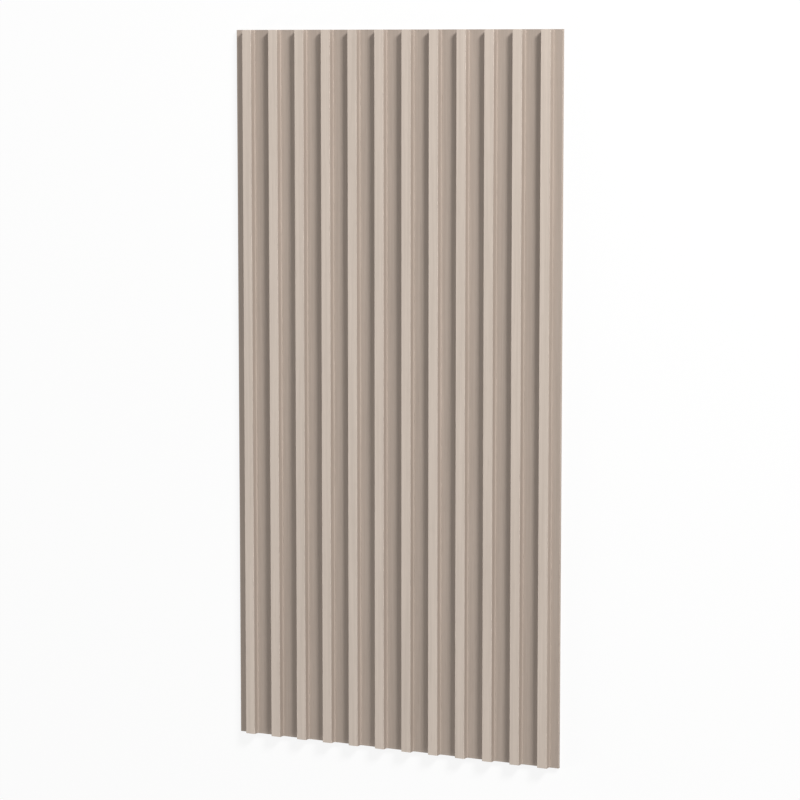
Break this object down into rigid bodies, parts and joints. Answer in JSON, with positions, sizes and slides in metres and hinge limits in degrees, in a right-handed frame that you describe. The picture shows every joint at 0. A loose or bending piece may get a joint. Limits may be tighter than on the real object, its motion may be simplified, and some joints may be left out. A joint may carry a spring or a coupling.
{
  "type": "slat wall panel",
  "caption": "Flat rectangular wall panel with straight square-edged slats along its length, flat grooves between them and half a groove at each long edge.",
  "frame": {"origin": "middle of the panel's back face", "axes": "+Z out of the slatted front, +Y along the slats, +X across them"},
  "size_m": [0.6, 1.2, 0.016],
  "materials": {
    "board": "matte taupe paint over fibreboard, a shade paler on the slat fronts"
  },
  "bodies": {
    "root": {"slat_panel": "board"}
  },
  "joints": []
}
